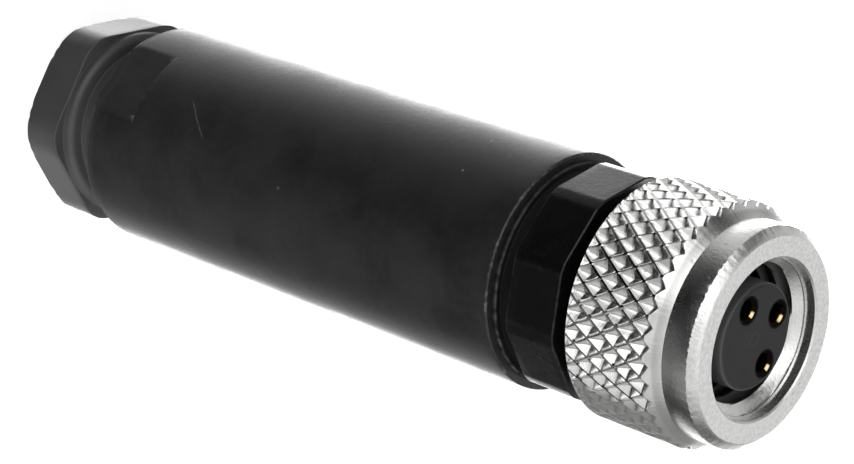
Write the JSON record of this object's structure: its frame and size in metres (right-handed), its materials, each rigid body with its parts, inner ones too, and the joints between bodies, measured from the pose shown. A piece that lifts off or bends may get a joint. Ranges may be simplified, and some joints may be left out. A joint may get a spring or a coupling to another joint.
{
  "type": "inline socket connector",
  "caption": "Cable-mount circular socket connector with a diamond-knurled coupling nut, a faceted grip collar, a plain round sleeve and a hexagonal cable gland nut.",
  "frame": {"origin": "middle of the gland nut's rear face, the cable end", "axes": "+Z along the connector towards its mating end; +X lies midway between two of the contacts"},
  "size_m": [0.0124, 0.0124, 0.0484],
  "materials": {
    "nickel": "satin nickel plating",
    "contact_gold": "gold plating",
    "steel": "plain",
    "grip_black": "glossy",
    "sleeve_black": "matt",
    "gland_black": "semi-gloss",
    "insert_black": "fine satin",
    "cage_grey": "satin",
    "slip_white": "smooth",
    "seal_black": "dull"
  },
  "bodies": {
    "housing": {"sleeve": "sleeve_black", "cable_seal": "seal_black"},
    "gland_thrust": {"slip_ring": "slip_white", "clamp_cage": "cage_grey"},
    "gland_nut": {"gland_nut": "gland_black"},
    "housing_seal": {"carrier_seal": "seal_black"},
    "contact_head": {"contact_carrier": "grip_black", "socket_insert": "insert_black", "terminal_block": "insert_black", "front_seal": "seal_black", "contact_1": "contact_gold", "contact_2": "contact_gold", "contact_3": "contact_gold", "terminal_screw_1": "steel", "terminal_screw_2": "steel", "terminal_screw_3": "steel", "wire_guard_1": "steel", "wire_guard_2": "steel", "wire_guard_3": "steel"},
    "nut_ring": {"nut_ring": "steel"},
    "coupling_nut": {"coupling_nut": "nickel"}
  },
  "joints": [
    {"name": "gland_advance", "type": "slide", "parent": "housing", "child": "gland_thrust", "axis": [0, 0, 1], "range_m": [-0.003, 0.0014]},
    {"name": "gland_turn", "type": "hinge", "parent": "gland_thrust", "child": "gland_nut", "pos_m": [0, 0, 0.001], "axis": [0, 0, 1], "range_deg": [-1080.2, 504.2]},
    {"name": "head_advance", "type": "slide", "parent": "housing", "child": "housing_seal", "axis": [0, 0, 1], "range_m": [0, 0.004]},
    {"name": "head_turn", "type": "hinge", "parent": "housing_seal", "child": "contact_head", "pos_m": [0, 0, 0.038], "axis": [0, 0, 1], "range_deg": [0, 1440.2]},
    {"name": "nut_end_play", "type": "slide", "parent": "contact_head", "child": "nut_ring", "axis": [0, 0, 1], "range_m": [-0.00088, 0]},
    {"name": "coupling_turn", "type": "hinge", "parent": "nut_ring", "child": "coupling_nut", "pos_m": [0, 0, 0.0448], "axis": [0, 0, 1], "continuous": true}
  ],
  "couplings": [
    {"joint": "gland_turn", "follows": "gland_advance", "rad_per_m": 6283.2},
    {"joint": "head_turn", "follows": "head_advance", "rad_per_m": 6283.2}
  ]
}
